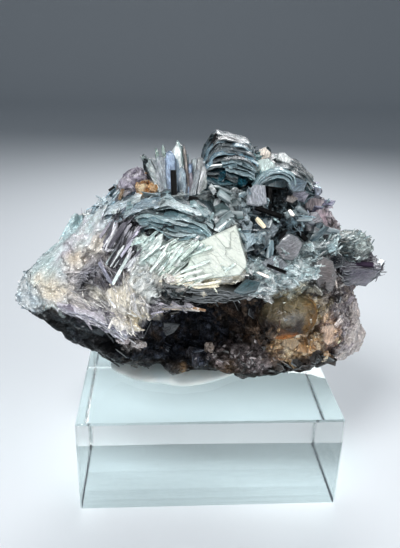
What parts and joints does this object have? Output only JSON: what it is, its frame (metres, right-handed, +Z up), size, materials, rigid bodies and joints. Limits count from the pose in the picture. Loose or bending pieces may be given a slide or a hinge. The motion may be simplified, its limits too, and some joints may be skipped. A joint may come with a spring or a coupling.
{
  "type": "barite crystal cluster on a clear block",
  "caption": "Bladed barite crystal cluster with a fan of clear blades and a dark hollow under a white ledge, puttied on a clear display block.",
  "frame": {"origin": "centre of the clear block's underside", "axes": "+Z up, -Y towards the viewer of the show side, +X to that viewer's right"},
  "size_m": [0.1065, 0.0624, 0.1044],
  "materials": {
    "clear_acrylic": "polished clear acrylic, faint cool tint, bright edges and fine scratches",
    "white_putty": "milky museum putty, soft waxy sheen",
    "barite": "glassy to pearly blades: steel blue, teal, mint white, lilac, with amber-brown and black patches"
  },
  "bodies": {
    "root": {"display_block": "clear_acrylic", "putty_pad": "white_putty", "barite_cluster": "barite"}
  },
  "joints": []
}
